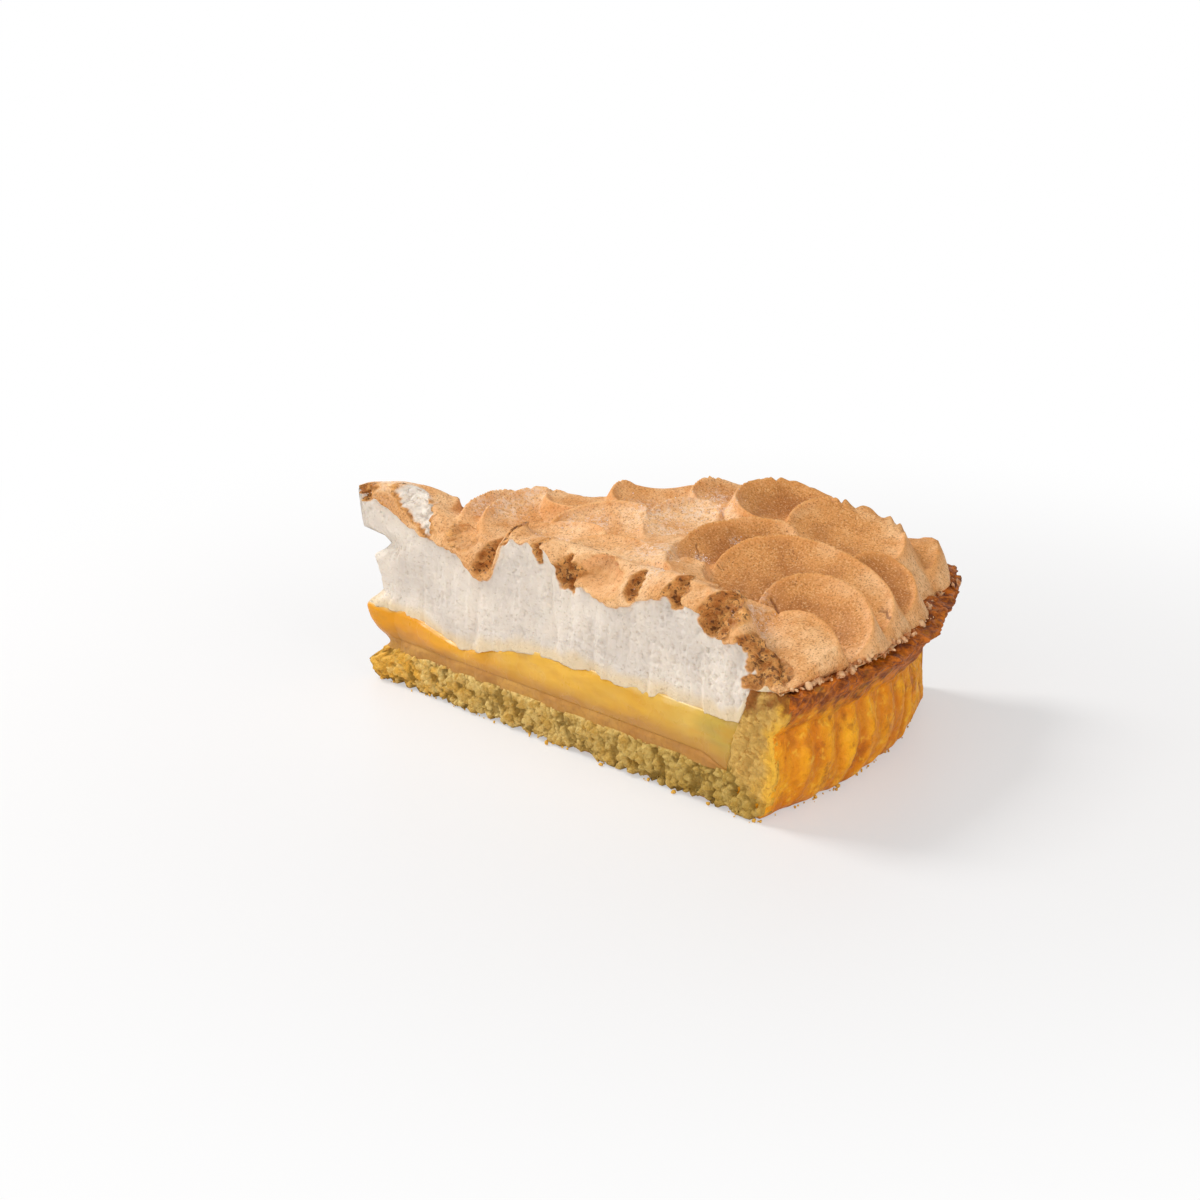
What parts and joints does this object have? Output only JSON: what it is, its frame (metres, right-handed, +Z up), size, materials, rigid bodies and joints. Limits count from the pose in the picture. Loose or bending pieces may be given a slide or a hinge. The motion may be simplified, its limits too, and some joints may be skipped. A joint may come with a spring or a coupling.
{
  "type": "lemon meringue pie slice",
  "caption": "Wedge of baked lemon meringue pie: fluted pastry case, lemon filling and a tall meringue top browned in overlapping strokes.",
  "frame": {"origin": "middle of the slice's bounding box, on the flat underside of the pastry", "axes": "+X from the slice's point to its rim, along the line that halves it; +Y to the left seen from the point; +Z up"},
  "size_m": [0.1469, 0.1082, 0.056],
  "materials": {
    "baked_pastry": "dry golden shortcrust, browned rim, open crumb at the cuts",
    "soaked_pastry": "moist, smooth, dull sheen",
    "lemon_curd": "moist set curd, soft uneven gloss",
    "browned_meringue": "dry matte browned skin over white foam"
  },
  "bodies": {
    "root": {"pastry_shell": "baked_pastry", "soaked_layer": "soaked_pastry", "lemon_filling": "lemon_curd", "meringue": "browned_meringue"}
  },
  "joints": []
}
